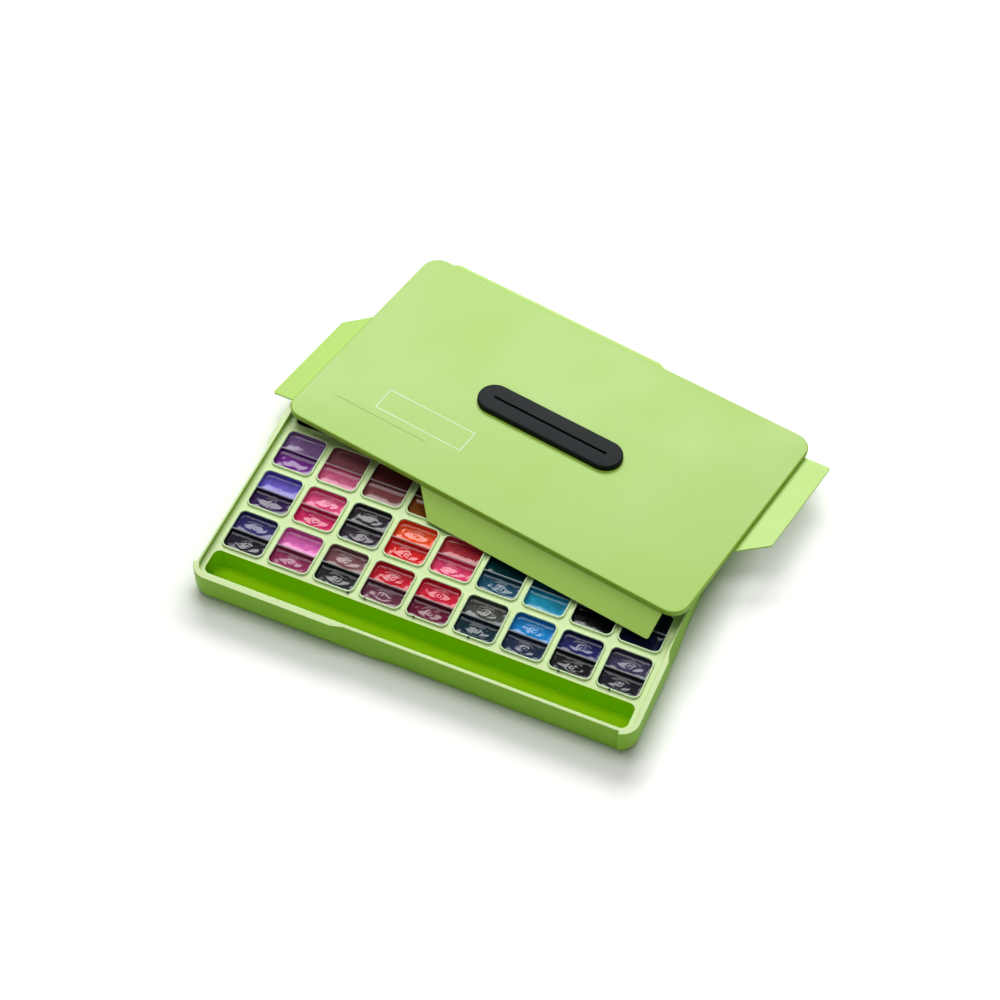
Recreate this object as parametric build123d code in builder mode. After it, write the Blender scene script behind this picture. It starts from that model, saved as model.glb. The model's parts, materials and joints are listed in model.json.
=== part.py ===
from build123d import *
import math
import os

# Gouache paint set box: a flat moulded tray with 36 twin cups and a trough, and its
# loose lid, which leans on the tray's back rim. Millimetres, +Z up, and the origin is
# the middle of the tray's underside. +X runs along the box and -Y is its front.

# ---- tray --------------------------------------------------------------------------
box_length = 350.0
box_depth = 202.0
wall_height = 26.0
corner_radius = 14.0
wall_thickness = 4.5          # outer wall, and the flat top of its rim
rim_height = 5.2              # rim above the deck
deck_thickness = 1.8
floor_thickness = 1.6
foot_rise = 6.7               # height of the drafted band round the foot
foot_inset = 2.0              # how far that band draws in at the underside

# ---- recesses for the lid's flaps, one in each wall, turned like a pinwheel ----------
recess_depth = 2.8            # at the rim
recess_toe_depth = 0.25       # at the underside, because the face leans outwards
recess_ramp = 10.0            # run-out at the recess's far end
recess_play = 2.7             # recess beyond the flap's square end
recess_end_play = 0.7         # recess beyond the flap's far end, before the run-out
catch_height = 15.3           # the ledge that a closed flap's bead snaps under
catch_depth = 2.3             # wall under the ledge
catch_toe_depth = 2.8         # the same wall at the underside
catch_setback = 37.0          # the ledge stops this far before the flap's far end
catch_ramp = 36.0             # long run-out at that end of the ledge
cutter_margin = 1.0           # how far a cutter stands out of the wall

# ---- cup grid and trough -----------------------------------------------------------
cup_columns = 9
cup_rows = 4
column_pitch = 37.2
row_pitch = 40.5
grid_back_margin = 8.8        # back wall's outside to the grid
open_in_second_row = 4        # cups of the second row that the lid leaves open, after the first row
trough_length = 332.6
trough_width = 21.2
trough_front_margin = 8.5     # front wall's outside to the trough
trough_radius = 5.0

# ---- twin cup ------------------------------------------------------------------------
cup_length = 32.3             # body just under the lip, along X
cup_width = 34.6              # body just under the lip, along Y
cup_wall = 0.9
cup_floor = 1.0
cup_draft = 0.75              # degrees, on the outside
opening_radius = 4.1
corner_cut = 2.9              # flat across each corner of a cup's body and of its pocket
lip_overhang = 0.8
lip_height = 1.5
divider_thickness = 1.4
divider_drop = 1.0            # divider's top below the lip
pocket_clearance = 0.35       # cup to pocket, each side
pocket_wall = 1.3
pocket_float = 0.6            # cup's underside above the pocket's floor
paint_drop = 5.0              # paint's surface below the lip
paint_clearance = 0.05        # paint to cup, all round

# ---- lid -------------------------------------------------------------------------------
lid_height = 4.6
lid_skin = 1.8
lid_skirt = 4.2
lid_edge_fillet = 1.2
insert_length = 126.0
insert_width = 27.0
insert_height = 4.4           # above the lid
insert_seat = 0.8             # depth of its seat in the lid
insert_clearance = 0.15
insert_edge_fillet = 1.3
insert_offset_x = 2.6         # from the lid's middle
insert_offset_y = -2.9
groove_length = 101.0
groove_width = 1.9
groove_depth = 3.0

# ---- flaps, hinged on the lid's lower edges ---------------------------------------------
flap_width = 21.5
flap_thickness = 1.5
flap_long = 209.0             # hinge line of the front and back flaps
flap_short = 109.0            # hinge line of the side flaps
flap_inset = 14.3             # lid's corner to the flap's square end
flap_slant = 18.5             # how far the slanted end runs in
flap_corner_radius = 2.0
hinge_gap = 0.3               # hinge line to the flap's edge
bead_from_hinge = 14.0        # catch bead on the flap's inner face
bead_width = 2.0
bead_height = 0.7
bead_end_margin = 30.0

# ---- how the lid lies: tipped back over the tray's back rim ------------------------------
lid_shift = 16.2              # lid's middle to the right of the tray's middle
lid_overshoot = 23.3          # lid's middle behind the back rim, along the lid
lid_turn = -9.8               # degrees, seen from above
lid_tilt = 4.5                # degrees, back edge down
lid_rest_gap = 2.5            # back rim to the lid, which the left flap holds up
flap_droop = {"front": 32.0, "right": -6.0, "back": 37.0, "left": 11.0}   # degrees below the lid

# ---- what follows from them --------------------------------------------------------------
deck_height = wall_height - rim_height
grid_centre_y = box_depth / 2 - grid_back_margin - cup_rows * row_pitch / 2
trough_centre_y = -box_depth / 2 + trough_front_margin + trough_width / 2
lip_width = cup_wall + lip_overhang
pocket_length = cup_length + 2 * pocket_clearance
pocket_width = cup_width + 2 * pocket_clearance
lip_top = deck_height + lip_height
paint_top = lip_top - paint_drop
cup_bottom = floor_thickness + pocket_float
cup_inner_floor = cup_bottom + cup_floor
opening_length = cup_length - 2 * cup_wall
opening_width = cup_width - 2 * cup_wall
foot_lean = math.degrees(math.atan2(foot_inset, foot_rise))
recess_slant = recess_ramp / recess_depth
catch_slant = catch_ramp / catch_toe_depth
side_names = ["front", "right", "back", "left"]


def side_length(turn):
    return box_depth if turn % 2 else box_length


def flap_length(turn):
    return flap_short if turn % 2 else flap_long


def side_location(turn, height=0.0):
    """Middle of a side of the box outline: local +X along it, local +Y inwards."""
    reach = (box_length if turn % 2 else box_depth) / 2
    return Location((0, 0, height), (0, 0, 90 * turn)) * Location((0, -reach, 0))


def wall_bite(turn, height, depth, end, slant):
    """Plan outline, at one height, of a cutter that bites into a wall and runs out at its end."""
    start = side_length(turn) / 2 - flap_inset + recess_play
    with BuildSketch(Plane(side_location(turn, height))) as outline:
        with BuildLine():
            Polyline(
                (start, -cutter_margin),
                (start, depth),
                (end, depth),
                (end - slant * (depth + cutter_margin), -cutter_margin),
                close=True,
            )
        make_face()
    return outline.sketch


def cut_flap_recess(turn):
    """Leaning recess for one flap, and the undercut that the flap's bead snaps into."""
    flap_end = side_length(turn) / 2 - flap_inset - flap_length(turn)
    rim = wall_bite(turn, wall_height, recess_depth, flap_end - recess_end_play, recess_slant)
    toe = wall_bite(turn, 0, recess_toe_depth, flap_end - recess_end_play, recess_slant)
    loft([rim, toe], ruled=True, mode=Mode.SUBTRACT)
    ledge = wall_bite(turn, catch_height, catch_depth, flap_end + catch_setback, catch_slant)
    foot = wall_bite(turn, 0, catch_toe_depth, flap_end + catch_setback, catch_slant)
    loft([ledge, foot], ruled=True, mode=Mode.SUBTRACT)


def make_tray():
    with BuildPart() as tray:
        with BuildSketch(Plane.XY.offset(foot_rise)) as outline:
            RectangleRounded(box_length, box_depth, corner_radius)
        extrude(amount=wall_height - foot_rise)
        extrude(outline.sketch, amount=-foot_rise, taper=foot_lean)
        # the well inside the rim, down to the deck
        with BuildSketch(Plane.XY.offset(deck_height)):
            RectangleRounded(
                box_length - 2 * wall_thickness,
                box_depth - 2 * wall_thickness,
                corner_radius - wall_thickness,
            )
        extrude(amount=rim_height, mode=Mode.SUBTRACT)
        # cup pockets and trough, down to a thin floor
        with BuildSketch(Plane.XY.offset(deck_height)) as pockets:
            with Locations((0, grid_centre_y)):
                with GridLocations(column_pitch, row_pitch, cup_columns, cup_rows):
                    Rectangle(pocket_length, pocket_width)
            chamfer(pockets.vertices(), length=corner_cut)
            with Locations((0, trough_centre_y)):
                RectangleRounded(trough_length, trough_width, trough_radius)
        extrude(amount=floor_thickness - deck_height, mode=Mode.SUBTRACT)
        # open underside, with the pockets and the trough standing in it as thin-walled boxes
        with BuildSketch(Plane.XY):
            RectangleRounded(
                box_length - 2 * wall_thickness,
                box_depth - 2 * wall_thickness,
                corner_radius - wall_thickness,
            )
            with Locations((0, grid_centre_y)):
                with GridLocations(column_pitch, row_pitch, cup_columns, cup_rows):
                    Rectangle(
                        pocket_length + 2 * pocket_wall,
                        pocket_width + 2 * pocket_wall,
                        mode=Mode.SUBTRACT,
                    )
            with Locations((0, trough_centre_y)):
                Rectangle(
                    trough_length + 2 * pocket_wall,
                    trough_width + 2 * pocket_wall,
                    mode=Mode.SUBTRACT,
                )
        extrude(amount=deck_height - deck_thickness, mode=Mode.SUBTRACT)
        for turn in range(len(side_names)):
            cut_flap_recess(turn)
    tray.part.label = "tray"
    export_step(tray.part, "parts/tray.step")


def cup_centre(row, column):
    """Centre of a cup; row 1 is the front row and column 1 is at the left."""
    return (
        (column - (cup_columns + 1) / 2) * column_pitch,
        grid_centre_y + (row - (cup_rows + 1) / 2) * row_pitch,
    )


def cup_plane(row, column, height):
    return Plane(origin=(*cup_centre(row, column), height))


def make_cup(row, column):
    with BuildPart() as cup:
        with BuildSketch(cup_plane(row, column, deck_height)) as body:
            Rectangle(cup_length, cup_width)
            chamfer(body.vertices(), length=corner_cut)
        extrude(amount=cup_bottom - deck_height, taper=cup_draft)
        with BuildSketch(cup_plane(row, column, deck_height)):
            RectangleRounded(
                cup_length + 2 * lip_overhang, cup_width + 2 * lip_overhang, opening_radius + lip_width
            )
        extrude(amount=lip_height)
        with BuildSketch(cup_plane(row, column, lip_top)):
            RectangleRounded(opening_length, opening_width, opening_radius)
        extrude(amount=cup_inner_floor - lip_top, mode=Mode.SUBTRACT)
        with BuildSketch(cup_plane(row, column, cup_inner_floor)):
            Rectangle(opening_length, divider_thickness)
        extrude(amount=lip_top - divider_drop - cup_inner_floor)
    cup.part.label = f"cup_{row}_{column}"
    export_step(cup.part, f"parts/cup_{row}_{column}.step")


def make_paint(name, cells):
    """Two halves of paint with flat-cut corners, one each side of the divider, for every cup listed."""
    play = 2 * paint_clearance
    with BuildPart() as paint:
        for row, column in cells:
            with BuildSketch(cup_plane(row, column, paint_top)) as halves:
                Rectangle(opening_length - play, opening_width - play)
                chamfer(halves.vertices(), length=opening_radius)
                Rectangle(opening_length, divider_thickness + play, mode=Mode.SUBTRACT)
            extrude(amount=cup_inner_floor + paint_clearance - paint_top)
    paint.part.label = name
    export_step(paint.part, f"parts/{name}.step")


def lid_location():
    """Middle of the lid's underside, which rests on the edge of the tray's back rim."""
    rest = Location((lid_shift, box_depth / 2, wall_height + lid_rest_gap))
    return (
        rest
        * Location((0, 0, 0), (-lid_tilt, 0, 0))
        * Location((0, lid_overshoot, 0))
        * Location((0, 0, 0), (0, 0, lid_turn))
    )


def lid_plane(height):
    return Plane(lid_location()).offset(height)


def lid_normal():
    return Axis(lid_plane(0).origin, lid_plane(0).z_dir)


def make_lid():
    with BuildPart() as lid:
        with BuildSketch(lid_plane(0)):
            RectangleRounded(box_length, box_depth, corner_radius)
        extrude(amount=lid_height)
        fillet(lid.faces().sort_by(lid_normal())[-1].edges(), radius=lid_edge_fillet)
        with BuildSketch(lid_plane(0)):
            RectangleRounded(
                box_length - 2 * lid_skirt, box_depth - 2 * lid_skirt, corner_radius - lid_skirt
            )
        extrude(amount=lid_height - lid_skin, mode=Mode.SUBTRACT)
        with BuildSketch(lid_plane(lid_height)):
            with Locations((insert_offset_x, insert_offset_y)):
                SlotOverall(insert_length + 2 * insert_clearance, insert_width + 2 * insert_clearance)
        extrude(amount=-insert_seat, mode=Mode.SUBTRACT)
    lid.part.label = "lid"
    export_step(lid.part, "parts/lid.step")


def make_insert():
    with BuildPart() as insert:
        with BuildSketch(lid_plane(lid_height - insert_seat)):
            with Locations((insert_offset_x, insert_offset_y)):
                SlotOverall(insert_length, insert_width)
        extrude(amount=insert_seat + insert_height)
        fillet(insert.faces().sort_by(lid_normal())[-1].edges(), radius=insert_edge_fillet)
        with BuildSketch(lid_plane(lid_height + insert_height)):
            with Locations((insert_offset_x, insert_offset_y)):
                SlotOverall(groove_length, groove_width)
        extrude(amount=-groove_depth, mode=Mode.SUBTRACT)
    insert.part.label = "lid_insert"
    export_step(insert.part, "parts/lid_insert.step")


def flap_location(turn):
    """Hinge line's middle: local +X along the hinge, +Y outwards, +Z to the flap's inner face."""
    droop = flap_droop[side_names[turn]]
    return lid_location() * side_location(turn) * Location((0, 0, 0), (180 + droop, 0, 0))


def make_flap(turn):
    square_end = side_length(turn) / 2 - flap_inset
    far_end = square_end - flap_length(turn)
    with BuildPart() as flap:
        with BuildSketch(Plane(flap_location(turn))) as outline:
            with BuildLine():
                Polyline(
                    (square_end, hinge_gap),
                    (square_end, flap_width),
                    (far_end + flap_slant, flap_width),
                    (far_end, hinge_gap),
                    close=True,
                )
            make_face()
            fillet(outline.vertices().group_by(Axis.Y)[-1], radius=flap_corner_radius)
        extrude(amount=flap_thickness)
        with BuildSketch(Plane(flap_location(turn)).offset(flap_thickness)):
            with Locations(((square_end + far_end + flap_slant) / 2, bead_from_hinge)):
                SlotOverall(flap_length(turn) - flap_slant - 2 * bead_end_margin, bead_width)
        extrude(amount=bead_height)
    name = f"flap_{side_names[turn]}"
    flap.part.label = name
    export_step(flap.part, f"parts/{name}.step")


os.makedirs("parts", exist_ok=True)
make_tray()
all_cells = [(row, column) for row in range(1, cup_rows + 1) for column in range(1, cup_columns + 1)]
for row, column in all_cells:
    make_cup(row, column)
    if row == 1 or (row == 2 and column <= open_in_second_row):
        make_paint(f"paint_{row}_{column}", [(row, column)])
make_paint("paint_row_2", [cell for cell in all_cells if cell[0] == 2 and cell[1] > open_in_second_row])
make_paint("paint_row_3", [cell for cell in all_cells if cell[0] == 3])
make_paint("paint_row_4", [cell for cell in all_cells if cell[0] == 4])
make_lid()
make_insert()
for turn in range(len(side_names)):
    make_flap(turn)
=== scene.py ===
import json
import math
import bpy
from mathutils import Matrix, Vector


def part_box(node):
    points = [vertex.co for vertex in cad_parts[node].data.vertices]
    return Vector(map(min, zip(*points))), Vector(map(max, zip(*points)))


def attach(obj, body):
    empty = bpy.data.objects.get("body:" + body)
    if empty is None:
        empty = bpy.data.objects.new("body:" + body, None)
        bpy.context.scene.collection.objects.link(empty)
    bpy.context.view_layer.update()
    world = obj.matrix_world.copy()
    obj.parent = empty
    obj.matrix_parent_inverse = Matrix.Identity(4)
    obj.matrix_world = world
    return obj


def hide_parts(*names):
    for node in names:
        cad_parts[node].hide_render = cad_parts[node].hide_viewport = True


bl_info = {
    "name": "Gouache paint box",
    "version": (1, 0, 0),
    "blender": (4, 5, 0),
    "location": "View3D > Sidebar > Paint box",
    "description": "Dresses a gouache paint box: tray, twin cups, wet paint, lid, flaps and stage",
    "category": "Object",
}

import bmesh
import bpy
from bpy.props import FloatProperty, FloatVectorProperty, IntProperty, PointerProperty
from bpy.types import Operator, Panel, PropertyGroup
from mathutils import Matrix, Vector, noise

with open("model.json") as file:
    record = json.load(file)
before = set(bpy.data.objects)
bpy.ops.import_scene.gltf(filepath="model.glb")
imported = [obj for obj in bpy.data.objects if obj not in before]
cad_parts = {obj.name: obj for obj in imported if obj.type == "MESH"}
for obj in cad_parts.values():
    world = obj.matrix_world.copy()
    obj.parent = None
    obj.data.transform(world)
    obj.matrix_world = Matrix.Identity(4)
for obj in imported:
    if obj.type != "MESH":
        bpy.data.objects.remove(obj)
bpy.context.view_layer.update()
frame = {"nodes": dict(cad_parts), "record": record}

MM = 0.001
SHARP_ANGLE = 32  # degrees between faces from which a moulded edge is rounded
WELD_DISTANCE = 0.002 * MM
LEVEL_ENOUGH = 0.9  # upward part of a face's normal from which it counts as a top face

# ---- what the frame says ---------------------------------------------------------------
behaviour = frame["record"]["behaviour"]
joints = {joint["name"]: joint for joint in behaviour["joints"]}
body_of_node = {node: body for body, nodes in behaviour["bodies"].items() for node in nodes}
SIDES = ("front", "right", "back", "left")

cup_low, cup_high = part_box("cup_1_1")
paint_low, paint_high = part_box("paint_1_1")
tray_low, tray_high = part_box("tray")
columns = sum(node.startswith("cup_1_") for node in body_of_node)
rows = sum(node.startswith("cup_") and node.endswith("_1") for node in body_of_node)


def cup_box(row, column):
    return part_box(f"cup_{row}_{column}")


def paint_node(row, column):
    """The node of the frame that holds this cup's paint: its own, or its row's."""
    own = f"paint_{row}_{column}"
    return own if own in body_of_node else f"paint_row_{row}"


def hinge_axis(side):
    return Vector(joints[f"flap_{side}_hinge"]["axis"]).normalized()


def hinge_point(side):
    return Vector(joints[f"flap_{side}_hinge"]["pos_m"])


# The flaps' hinge axes run along the lid's four lower edges, so they give the lid's own axes.
lid_x = -hinge_axis("front")
lid_y = -hinge_axis("right")
lid_z = lid_x.cross(lid_y).normalized()


def along(point, axis):
    return point.dot(axis)


def span(node, axis, origin):
    """Lowest and highest reach of a node along an axis, counted from an origin."""
    reaches = [along(vertex.co - origin, axis) for vertex in frame["nodes"][node].data.vertices]
    return min(reaches), max(reaches)


lid_frame_origin = hinge_point("front")
lid_x_span = span("lid", lid_x, lid_frame_origin)
lid_y_span = span("lid", lid_y, lid_frame_origin)
lid_z_span = span("lid", lid_z, lid_frame_origin)
lid_middle = (
    lid_frame_origin
    + lid_x * sum(lid_x_span) / 2
    + lid_y * sum(lid_y_span) / 2
    + lid_z * lid_z_span[0]
)
lid_thickness = lid_z_span[1] - lid_z_span[0]


def on_lid(x, y, z=0.0):
    """A point of the lid: x and y from its middle, z above its top face."""
    return lid_middle + lid_x * x + lid_y * y + lid_z * (lid_thickness + z)


# ---- paints, each cup's back half and then its front half ---------------------------------
PAINTS = {
    1: (
        ("#332E70", "#1E1A2C"), ("#DC66B4", "#922A5A"), ("#7E5052", "#232528"),
        ("#C8142E", "#6A3044"), ("#D01A3C", "#6C1034"), ("#4A4E48", "#0C2C3A"),
        ("#0E80C4", "#1E2E4A"), ("#1A2060", "#141418"), ("#3C3755", "#1C1826"),
    ),
    2: (
        ("#6858C0", "#341850"), ("#DC4A80", "#CC1A60"), ("#2E2830", "#302634"),
        ("#E84E14", "#D81A1C"), ("#B42E3C", "#DA3A6A"), ("#0A3C40", "#0A4A64"),
        ("#0A6078", "#1490B0"), ("#0C0C12", "#0C0C12"), ("#11163A", "#11163A"),
    ),
    3: (
        ("#825F96", "#701F88"), ("#90545E", "#CC5C84"), ("#6E3234", "#8A4648"),
        ("#7E3E14", "#8A4A1A"), ("#E0A0A0", "#C96A50"), ("#2E7A4E", "#1C5A3C"),
        ("#3C9FC0", "#2B7AA8"), ("#3A5FB0", "#27407E"), ("#8A8FA6", "#5B6076"),
    ),
    4: (
        ("#4C2524", "#4C2524"), ("#5A2C2C", "#43201F"), ("#E08A2C", "#C8641C"),
        ("#D8B070", "#B08040"), ("#F0D8C0", "#E4B890"), ("#9CC04A", "#5E9A34"),
        ("#7CC4B0", "#3E9A86"), ("#9CC8E8", "#6A9CD0"), ("#F2F2EC", "#C8C8C4"),
    ),
}
# dabs of paint on the front lip of the first row's cups: column, and place along the lip
DABS = {3: 13.6, 4: -9.9, 5: -8.1, 6: -2.1, 8: -6.5, 9: -5.0}
LAST_OPEN_ROW = 2  # the rows behind it are mostly under the lid, so their paint has fewer facets
# halves whose paint has settled smooth: row, column and 1 for the back half or -1 for the front
SETTLED = {
    (1, 2, 1), (2, 1, 1), (2, 5, 1), (2, 6, 1), (2, 7, 1), (2, 7, -1), (2, 8, 1), (2, 8, -1),
    (2, 9, 1), (2, 9, -1), (3, 1, 1), (3, 2, 1), (3, 2, -1), (3, 3, 1), (3, 3, -1), (3, 4, -1),
}


def linear(channel):
    if channel <= 0.04045:
        return channel / 12.92
    return ((channel + 0.055) / 1.055) ** 2.4


def paint_colour(code):
    """A written sRGB colour, such as #2C2A63, as the linear one that shaders use."""
    parts = [int(code[start : start + 2], 16) / 255 for start in (1, 3, 5)]
    return tuple(linear(part) for part in parts)


# ---- settings --------------------------------------------------------------------------
def size_setting(name, description, default):
    return FloatProperty(name=name, description=description, default=default, unit="LENGTH", precision=5)


def angle_setting(name, description, degrees):
    default = math.radians(degrees)
    return FloatProperty(name=name, description=description, default=default, subtype="ANGLE")


def colour_setting(name, description, default):
    return FloatVectorProperty(
        name=name, description=description, default=default, subtype="COLOR", size=3, min=0, max=1
    )


class ShellSettings(PropertyGroup):
    """The tray's, lid's and flaps' moulded plastic."""

    colour: colour_setting("Shell", "Lime plastic of the tray, lid and flaps", paint_colour("#9AC638"))
    # painted sheen: the deck's paler colour stands in for the highlight its top faces catch
    deck_painted_sheen_colour: colour_setting("Deck", "Paler, polished top faces of the tray", paint_colour("#CFE6A2"))
    # painted shade: the outer walls' deeper, more saturated green stands in for the shade and green bounce
    # light on them
    wall_painted_shade_colour: colour_setting("Wall", "Deeper green of the tray's outer walls", paint_colour("#94CF2E"))
    # painted light and shade: the trough's shaded back wall gets a near-full green, its lit front floor a
    # darker green
    trough_back_painted_light: colour_setting("Trough", "Green of the trough's back wall", paint_colour("#C6FD03"))
    trough_front_painted_shade: colour_setting("Trough front", "Green of the trough's front part", paint_colour("#69A501"))
    # painted light: the flaps are the shell's plastic, made lighter to stand in for the light that falls on
    # them
    flap_painted_light_colour: colour_setting("Flaps", "Lighter green of the thin flaps", paint_colour("#B2DB60"))
    edge_radius: size_setting("Edge radius", "Rounding of the moulded edges", 0.45 * MM)
    lid_edge_radius: size_setting("Lid edge", "Rounding of the lid's edges", 0.3 * MM)
    flap_edge_radius: size_setting("Flap edge", "Rounding of the flaps' edges", 0.25 * MM)
    hinge_radius: size_setting("Film hinge", "Radius of the bead of plastic at a flap's hinge", 0.34 * MM)


class CupSettings(PropertyGroup):
    """The twin cups that hold the paint."""

    colour: colour_setting("Cup", "Milky green plastic of the cups", paint_colour("#D2EBB4"))
    bar_colour: colour_setting("Bar", "Plastic of the bar, dulled by paint", paint_colour("#8E9690"))
    lip_width: size_setting("Lip width", "Opening to the lip's outer edge", 1.4 * MM)
    lip_height: size_setting("Lip height", "Lip above the deck", 1.5 * MM)
    corner_radius: size_setting("Corner radius", "Corner of the cup's opening", 4.1 * MM)
    wall: size_setting("Wall", "Thickness of the cup's wall", 0.9 * MM)
    floor: size_setting("Floor", "Thickness of the cup's floor", 1.0 * MM)
    draft: angle_setting("Draft", "Lean of the cup's walls", 0.75)
    divider_width: size_setting("Divider", "Width of the bar between the halves", 1.4 * MM)
    divider_drop: size_setting("Divider drop", "Top of the bar below the lip", 1.0 * MM)
    corner_steps: IntProperty(name="Corner steps", description="Facets in a corner", default=7, min=2)


class PaintSettings(PropertyGroup):
    """The wet paint in the cups."""

    ring_radius: size_setting("Ring radius", "Radius of the ring left by the filling nozzle", 2.7 * MM)
    ring_height: size_setting("Ring height", "Height of that ring", 0.36 * MM)
    bump_height: size_setting("Bump height", "Height of the bump inside the ring", 0.32 * MM)
    fold_length: size_setting("Fold length", "Half the length of the fold round the ring", 9.5 * MM)
    fold_width: size_setting("Fold width", "Half the width of the fold round the ring", 4.3 * MM)
    fold_height: size_setting("Fold height", "Height of the fold round the ring", 0.18 * MM)
    lean: FloatProperty(name="Lean", description="Slope of the pool inside the fold", default=0.075)
    dish: size_setting("Dish", "Sag of the paint's middle below its edges", 0.55 * MM)
    ripple: size_setting("Ripple", "Height of the uneven ripples", 0.17 * MM)
    dab_length: size_setting("Dab length", "Length of a dab of paint on the lip", 2.2 * MM)
    film_drop: size_setting("Film drop", "Top of the paint film on the wall, below the lip", 0.5 * MM)
    across: IntProperty(name="Steps across", description="Facets along a half cup", default=52, min=8)
    deep: IntProperty(name="Steps deep", description="Facets across a half cup", default=26, min=6)


class PrintSettings(PropertyGroup):
    """The plain print on the lid: an outline frame and a thin rule."""

    frame_colour: colour_setting("Frame", "White of the outline frame", (0.93, 0.95, 0.88))
    rule_colour: colour_setting("Rule", "Grey of the thin rule", paint_colour("#4A5A38"))
    frame_length: size_setting("Frame length", "Length of the outline frame", 78 * MM)
    frame_width: size_setting("Frame width", "Width of the outline frame", 21 * MM)
    frame_x: size_setting("Frame x", "Middle of the frame from the lid's middle, lengthwise", -79.7 * MM)
    frame_y: size_setting("Frame y", "Middle of the frame from the lid's middle, crosswise", -49.5 * MM)
    line_width: size_setting("Line", "Width of the printed lines", 0.55 * MM)
    rule_length: size_setting("Rule length", "Length of the thin rule", 84 * MM)
    rule_x: size_setting("Rule x", "Middle of the rule from the lid's middle, lengthwise", -109.5 * MM)
    rule_y: size_setting("Rule y", "The rule from the lid's middle, crosswise", -67.5 * MM)
    thickness: size_setting("Ink", "Thickness of the ink", 0.04 * MM)


class InsertSettings(PropertyGroup):
    """The dark insert on the lid."""

    colour: colour_setting("Insert", "Dark plastic of the insert", paint_colour("#12191C"))
    edge_radius: size_setting("Edge radius", "Rounding of the groove's edges", 0.2 * MM)


class StageSettings(PropertyGroup):
    """Camera, light and floor."""

    camera_azimuth: angle_setting("Azimuth", "Camera, round from the front", 23.69)
    camera_elevation: angle_setting("Elevation", "Camera above the floor", 54.64)
    camera_roll: angle_setting("Roll", "Camera about its own axis", -0.09)
    camera_distance: size_setting("Distance", "Camera to the point it looks at", 1.75095)
    target_x: size_setting("Target x", "Point that the camera looks at", 1.42 * MM)
    target_y: size_setting("Target y", "Point that the camera looks at", 66.06 * MM)
    focal_length: FloatProperty(
        name="Focal length", description="On a 36 mm sensor", default=83.19, unit="CAMERA"
    )
    key_power: FloatProperty(name="Key", description="Power of the light behind", default=168, unit="POWER")
    top_power: FloatProperty(name="Top", description="Power of the overhead light", default=98, unit="POWER")
    fill_strength: FloatProperty(name="Fill", description="Light from all round", default=0.2)
    floor_lift: FloatProperty(name="Floor lift", description="White added clear of the box", default=0.3)


SETTINGS = {
    "box_shell": ShellSettings,
    "box_cups": CupSettings,
    "box_paint": PaintSettings,
    "box_print": PrintSettings,
    "box_insert": InsertSettings,
    "box_stage": StageSettings,
}


# ---- materials -------------------------------------------------------------------------
# A noise rarely leaves this range, so shades and roughness are spread over it.
NOISE_RANGE = (0.3, 0.7)
# noise scales, in waves to a metre
CLOUDS = 14.0
CUP_CLOUDS = 60.0
PAINT_STREAKS = 220.0
PAINT_GRAIN = 700.0
INK_SPECKLE = 900.0
CUP_GRAIN = 1400.0
SHELL_GRAIN = 2600.0
FLOOR_CLOUDS = 2.0
ROUGHNESS_SPREAD = 0.04


class Surface:
    """A new material: its shader, and nodes that feed it with noise from the piece's own place."""

    def __init__(self, name):
        self.material = bpy.data.materials.new(name)
        self.material.use_nodes = True
        self.nodes = self.material.node_tree.nodes
        self.links = self.material.node_tree.links
        self.shader = self.nodes["Principled BSDF"]
        self.place = self.nodes.new("ShaderNodeTexCoord").outputs["Object"]

    def level(self, name, value):
        self.shader.inputs[name].default_value = value

    def feed(self, name, source):
        self.links.new(source, self.shader.inputs[name])

    def noise(self, scale, detail=3.0):
        texture = self.nodes.new("ShaderNodeTexNoise")
        texture.inputs["Scale"].default_value = scale
        texture.inputs["Detail"].default_value = detail
        self.links.new(self.place, texture.inputs["Vector"])
        return texture.outputs["Fac"]

    def map_range(self, source, given, wanted):
        """Takes the values from one range to another."""
        change = self.nodes.new("ShaderNodeMapRange")
        change.inputs["From Min"].default_value = given[0]
        change.inputs["From Max"].default_value = given[1]
        change.inputs["To Min"].default_value = wanted[0]
        change.inputs["To Max"].default_value = wanted[1]
        self.links.new(source, change.inputs["Value"])
        return change.outputs["Result"]

    def shades(self, source, dark, light):
        """Colours the surface from dark to light."""
        ramp = self.nodes.new("ShaderNodeValToRGB")
        for element, position, colour in zip(ramp.color_ramp.elements, NOISE_RANGE, (dark, light)):
            element.position = position
            element.color = (*colour, 1)
        self.links.new(source, ramp.inputs["Fac"])
        self.feed("Base Color", ramp.outputs["Color"])

    def tint(self, layer, cloud, low, high):
        """Takes the colour from the mesh's colour layer, a little darker or lighter by the noise."""
        colour = self.nodes.new("ShaderNodeVertexColor")
        colour.layer_name = layer
        mix = self.nodes.new("ShaderNodeVectorMath")
        mix.operation = "SCALE"
        self.links.new(colour.outputs["Color"], mix.inputs[0])
        self.links.new(self.map_range(cloud, NOISE_RANGE, (low, high)), mix.inputs["Scale"])
        self.feed("Base Color", mix.outputs["Vector"])

    def roughness(self, cloud, low, high):
        self.feed("Roughness", self.map_range(cloud, NOISE_RANGE, (low, high)))

    def bump(self, height, distance, strength):
        bump = self.nodes.new("ShaderNodeBump")
        bump.inputs["Distance"].default_value = distance
        bump.inputs["Strength"].default_value = strength
        self.links.new(height, bump.inputs["Height"])
        self.feed("Normal", bump.outputs["Normal"])


def shaded(colour, factor):
    return tuple(min(1.0, channel * factor) for channel in colour)


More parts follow.
